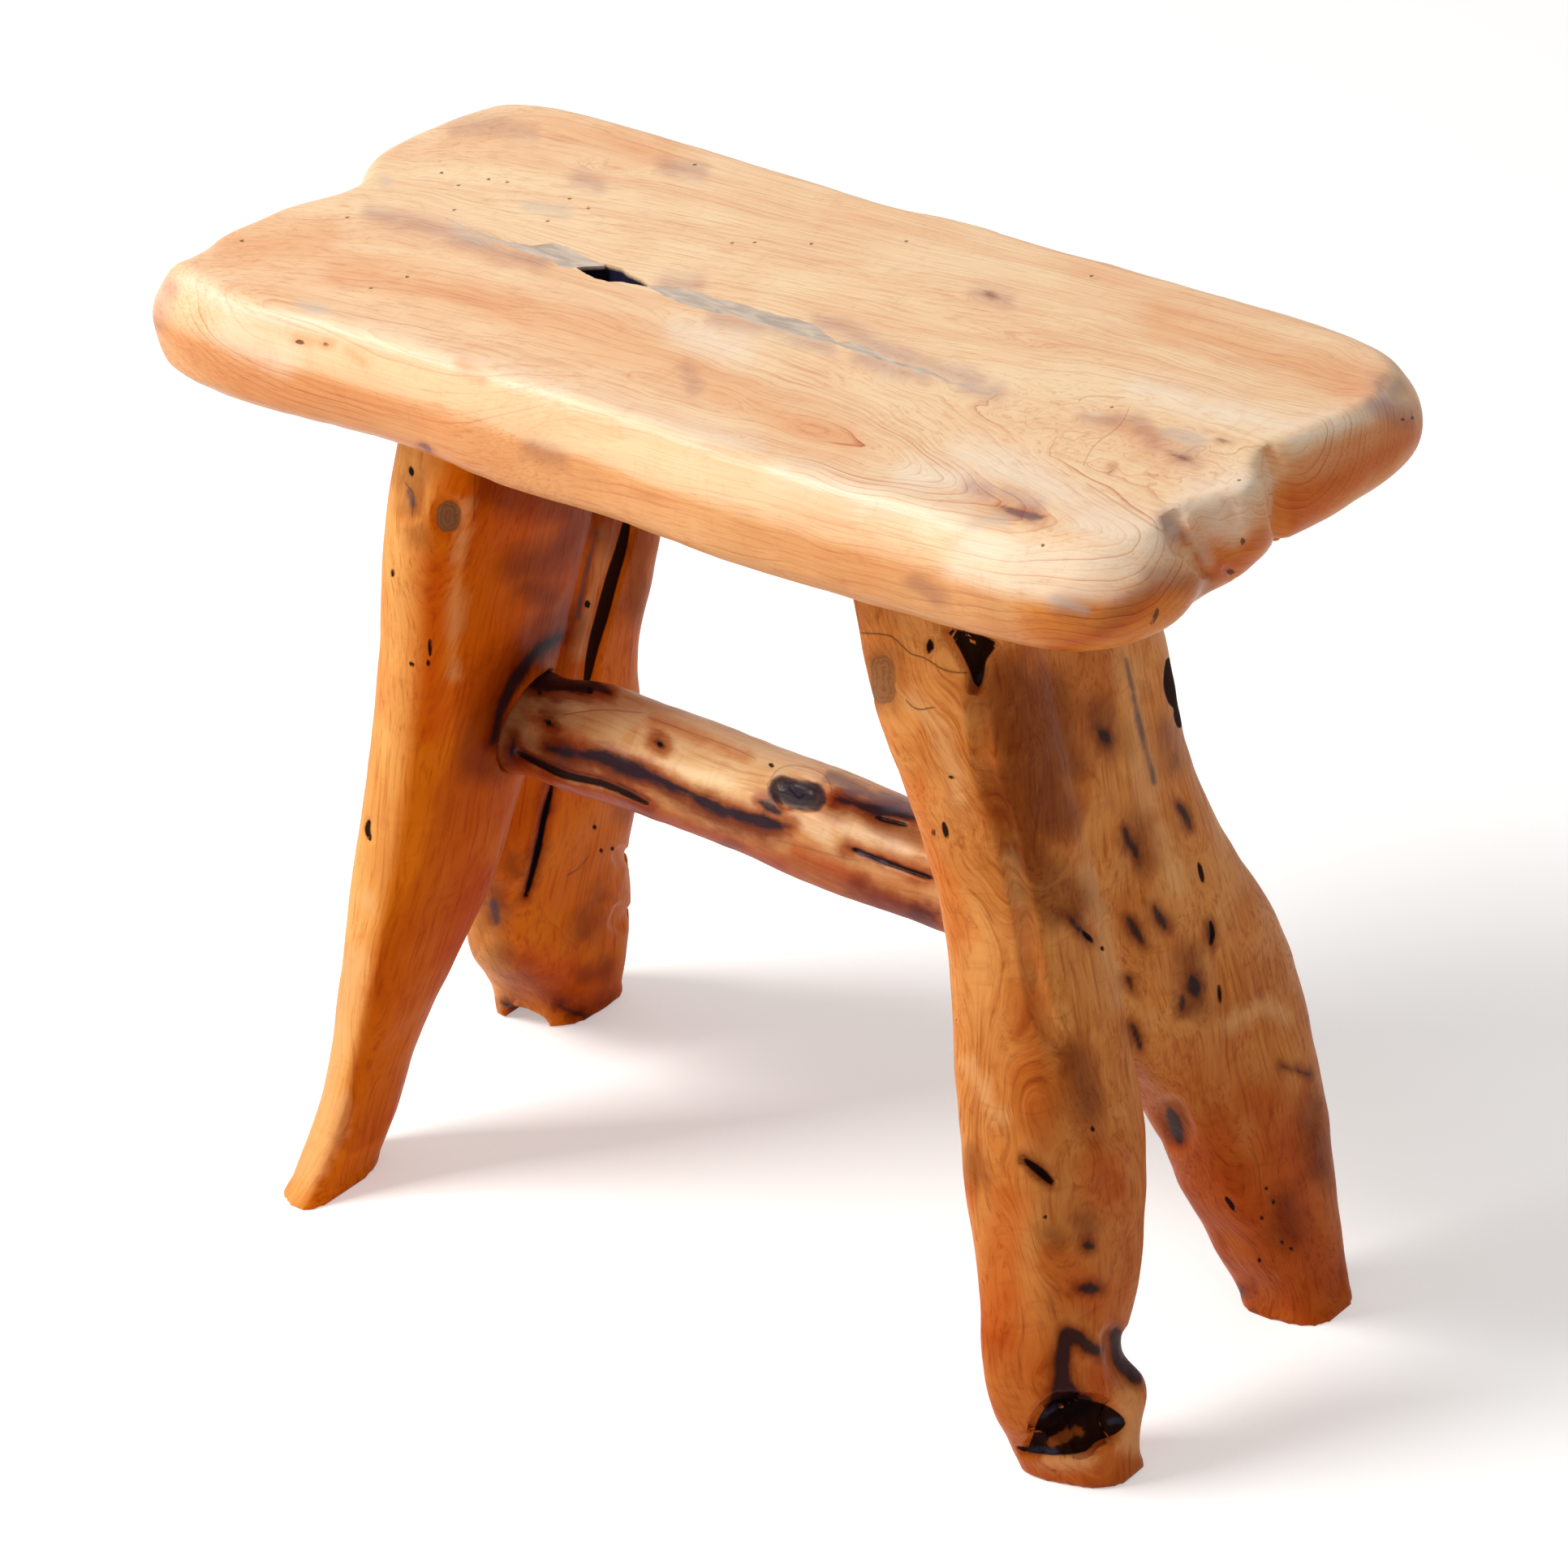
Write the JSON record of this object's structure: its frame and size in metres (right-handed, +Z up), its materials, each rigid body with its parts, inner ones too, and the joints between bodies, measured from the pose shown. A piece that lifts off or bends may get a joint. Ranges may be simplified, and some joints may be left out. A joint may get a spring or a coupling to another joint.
{
  "type": "rustic log bench",
  "caption": "Low rustic bench: a live-edge log slab seat on forked, splayed log legs joined by a peeled round pole.",
  "frame": {"origin": "on the floor under the middle of the bench", "axes": "+Z up, +X along the seat towards the leg with the hollow foot, +Y to the back edge"},
  "size_m": [0.5085, 0.2446, 0.45],
  "materials": {
    "seat_wood": "satin clear varnish on pale honey log",
    "leg_wood": "satin clear varnish on orange-brown log",
    "pole_wood": "satin clear varnish on mottled peeled pole",
    "dowel_wood": "bare turned hardwood",
    "resin": "clear glossy cast filler over dark wood"
  },
  "bodies": {
    "root": {"seat_slab": "seat_wood", "crack_resin_left": "resin", "crack_resin_right": "resin", "left_leg": "leg_wood", "right_leg": "leg_wood", "stretcher": "pole_wood", "stretcher_left_wedge": "dowel_wood", "stretcher_right_wedge": "dowel_wood", "left_front_dowel": "dowel_wood", "left_rear_dowel": "dowel_wood", "right_front_dowel": "dowel_wood", "right_rear_dowel": "dowel_wood"}
  },
  "joints": []
}
